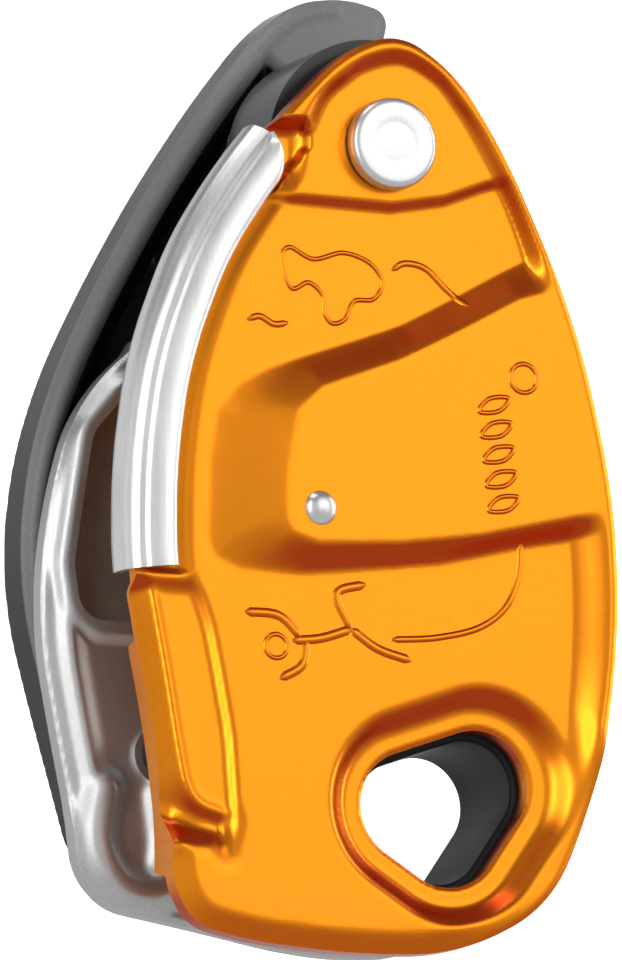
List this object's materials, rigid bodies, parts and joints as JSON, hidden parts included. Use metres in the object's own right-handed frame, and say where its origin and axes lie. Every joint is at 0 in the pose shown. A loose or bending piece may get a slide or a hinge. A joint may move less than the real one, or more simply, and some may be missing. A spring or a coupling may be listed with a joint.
{
  "type": "assisted-braking belay device",
  "caption": "Assisted-braking belay device: two pressed side plates, one swinging open, with a sprung rope cam between them, a carabiner eye and a folding release lever.",
  "frame": {"origin": "centre of the carabiner eye, midway between the two side plates", "axes": "+Z from the eye up towards the pivot of the moving side plate, -Y out of the moving plate's front face, +X to the right seen from the front"},
  "size_m": [0.0657, 0.0327, 0.1162],
  "materials": {
    "orange_aluminium": "satin anodised",
    "bare_aluminium": "bead blasted",
    "stainless": "brushed",
    "bright_steel": "turned",
    "dark_steel": "ground",
    "spring_steel": "drawn wire",
    "bronze": "turned",
    "black_nylon": "fine texture",
    "gloss_nylon": "glossy",
    "grey_nylon": "glossy",
    "white_nylon": "plain"
  },
  "bodies": {
    "fixed_body": {"fixed_side_plate": "bare_aluminium", "window_wear_plate": "dark_steel", "wear_plate_rivets": "bright_steel", "eye_liner": "black_nylon", "guide_stud": "black_nylon", "guide_stud_ring": "bright_steel", "hub_spacer": "grey_nylon", "hub_rivets": "bright_steel", "thrust_washer": "white_nylon", "friction_shoe": "dark_steel", "shoe_rivets": "bright_steel", "pivot_axle": "bright_steel", "cam_bush": "bronze", "cam_spring": "spring_steel"},
    "swinging_plate": {"moving_side_plate": "orange_aluminium", "wear_strip": "stainless", "strip_rivet": "bright_steel", "pivot_bush": "bronze"},
    "cam_body": {"cam": "bright_steel", "cam_axle": "bright_steel", "lever_carrier": "stainless", "axle_nut": "bright_steel", "hinge_pin": "bright_steel"},
    "handle": {"handle_shell": "black_nylon", "handle_insert": "gloss_nylon", "handle_rivets": "bright_steel", "hinge_bush": "bronze"},
    "selector": {"selector_knob": "black_nylon", "selector_screw": "bright_steel"}
  },
  "joints": [
    {"name": "side_plate_swing", "type": "hinge", "parent": "fixed_body", "child": "swinging_plate", "pos_m": [-0.0085, 0, 0.0771], "axis": [0, 1, 0], "range_deg": [0, 110]},
    {"name": "cam_turn", "type": "hinge", "parent": "fixed_body", "child": "cam_body", "pos_m": [-0.008, 0, 0.0441], "axis": [0, 1, 0], "range_deg": [0, 22], "stiffness_Nm_per_rad": 0.06, "springref_deg": -17.19},
    {"name": "handle_fold", "type": "hinge", "parent": "cam_body", "child": "handle", "pos_m": [-0.027, 0, 0.004], "axis": [0, -1, 0], "range_deg": [0, 150]},
    {"name": "selector_turn", "type": "hinge", "parent": "fixed_body", "child": "selector", "pos_m": [0.008, 0, 0.02], "axis": [0, 1, 0], "range_deg": [0, 90]}
  ]
}
